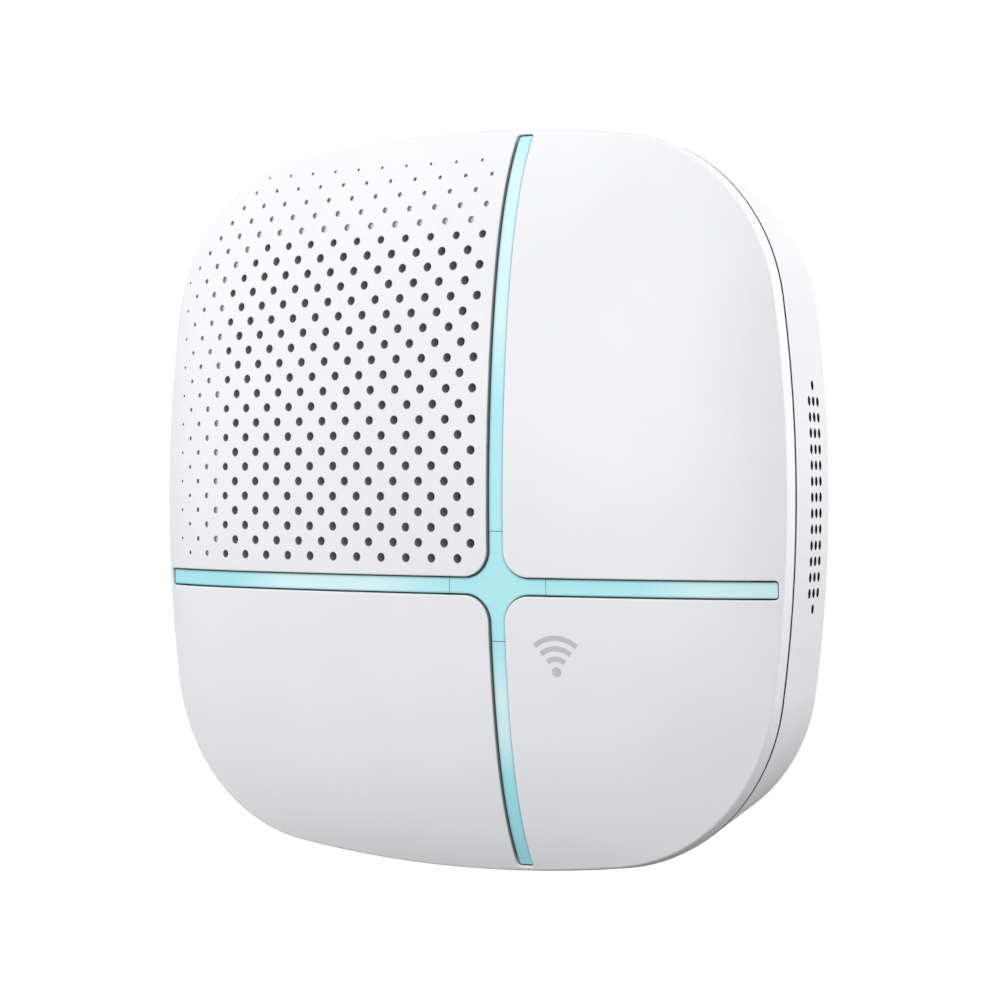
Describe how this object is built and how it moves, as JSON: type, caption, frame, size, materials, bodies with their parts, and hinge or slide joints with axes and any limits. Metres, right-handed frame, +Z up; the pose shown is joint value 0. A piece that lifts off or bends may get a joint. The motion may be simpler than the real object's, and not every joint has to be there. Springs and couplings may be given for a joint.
{
  "type": "wall-mounted mesh wifi node",
  "caption": "Square domed wall-mounted mesh wifi node with an off-centre cross of light, a perforated speaker field, rear network sockets and a slide-on wall bracket.",
  "frame": {"origin": "the point of the wall bracket's wall face straight behind the centre of the case outline", "axes": "+Y into the wall, so the front faces -Y; +Z up; +X to the right of someone who looks at the front"},
  "size_m": [0.1468, 0.041, 0.1468],
  "materials": {
    "shell_white": "fine satin moulded white",
    "bracket_white": "moulded off-white",
    "button_grey": "moulded grey",
    "light_guide": "translucent cyan-lit light guide",
    "grille_cloth": "fine black acoustic cloth",
    "frame_black": "moulded black",
    "gasket_black": "soft black",
    "board_green": "solder mask",
    "led_yellow": "phosphor lens",
    "switch_metal": "stamped",
    "switch_black": "moulded black",
    "speaker_steel": "zinc plated",
    "surround_rubber": "soft",
    "cone_paper": "pressed paper",
    "coil_copper": "enamelled copper wire",
    "spider_cloth": "resin-dipped cloth",
    "magnet_dark": "ferrite",
    "wire_red": "insulated wire",
    "socket_white": "nylon",
    "ribbon_white": "flat cable",
    "pad_rubber": "soft grey",
    "screw_steel": "plated",
    "chip_black": "moulded package",
    "thermal_pad": "silicone",
    "heatsink_aluminium": "extruded",
    "shield_tin": "tin plated",
    "capacitor_can": "sleeved can",
    "antenna_brass": "stamped",
    "jack_black": "moulded black"
  },
  "bodies": {
    "wall_bracket": {"wall_bracket": "bracket_white"},
    "housing": {"antenna_left": "antenna_brass", "antenna_right": "antenna_brass", "antenna_top_left": "antenna_brass", "antenna_top_right": "antenna_brass", "board_screws": "screw_steel", "case_screws": "screw_steel", "ethernet_jack_one": "jack_black", "ethernet_jack_two": "jack_black", "front_cover": "shell_white", "grille_cloth": "grille_cloth", "heatsink": "heatsink_aluminium", "key_switch": "switch_metal", "lan_transformers": "chip_black", "led_board": "board_green", "led_ribbon": "ribbon_white", "leds": "led_yellow", "light_arm_bottom": "light_guide", "light_arm_left": "light_guide", "light_arm_right": "light_guide", "light_arm_top": "light_guide", "light_baffle": "frame_black", "light_board_screws": "screw_steel", "main_board": "board_green", "memory_chips": "chip_black", "mid_frame": "frame_black", "power_capacitors": "capacitor_can", "power_jack": "jack_black", "processor": "chip_black", "radio_chips": "chip_black", "radio_shields": "shield_tin", "rear_case": "shell_white", "reset_switch": "switch_black", "ribbon_socket": "socket_white", "seam_gasket": "gasket_black", "speaker_basket": "speaker_steel", "speaker_gasket": "gasket_black", "speaker_lead": "wire_red", "speaker_magnet": "magnet_dark", "speaker_screws": "screw_steel", "speaker_socket": "socket_white", "speaker_spider": "spider_cloth", "speaker_surround": "surround_rubber", "speaker_top_plate": "speaker_steel", "speaker_yoke": "speaker_steel", "thermal_pad": "thermal_pad", "wall_pads": "pad_rubber"},
    "centre_key": {"light_hub": "light_guide", "key_plunger": "switch_black"},
    "reset_key": {"reset_button": "button_grey"},
    "diaphragm": {"speaker_cone": "cone_paper", "dust_cap": "cone_paper", "voice_coil": "coil_copper"}
  },
  "joints": [
    {"name": "bracket_slide", "type": "slide", "parent": "wall_bracket", "child": "housing", "axis": [0, 0, 1], "range_m": [0, 0.012]},
    {"name": "centre_press", "type": "slide", "parent": "housing", "child": "centre_key", "axis": [0, 1, 0], "range_m": [0, 0.0005], "stiffness_N_per_m": 1500, "springref_m": -0.001},
    {"name": "reset_press", "type": "slide", "parent": "housing", "child": "reset_key", "axis": [0, 0, 1], "range_m": [0, 0.0006], "stiffness_N_per_m": 1500, "springref_m": -0.001},
    {"name": "cone_travel", "type": "slide", "parent": "housing", "child": "diaphragm", "axis": [0, 1, 0], "range_m": [-0.0008, 0.0008], "stiffness_N_per_m": 1400}
  ]
}
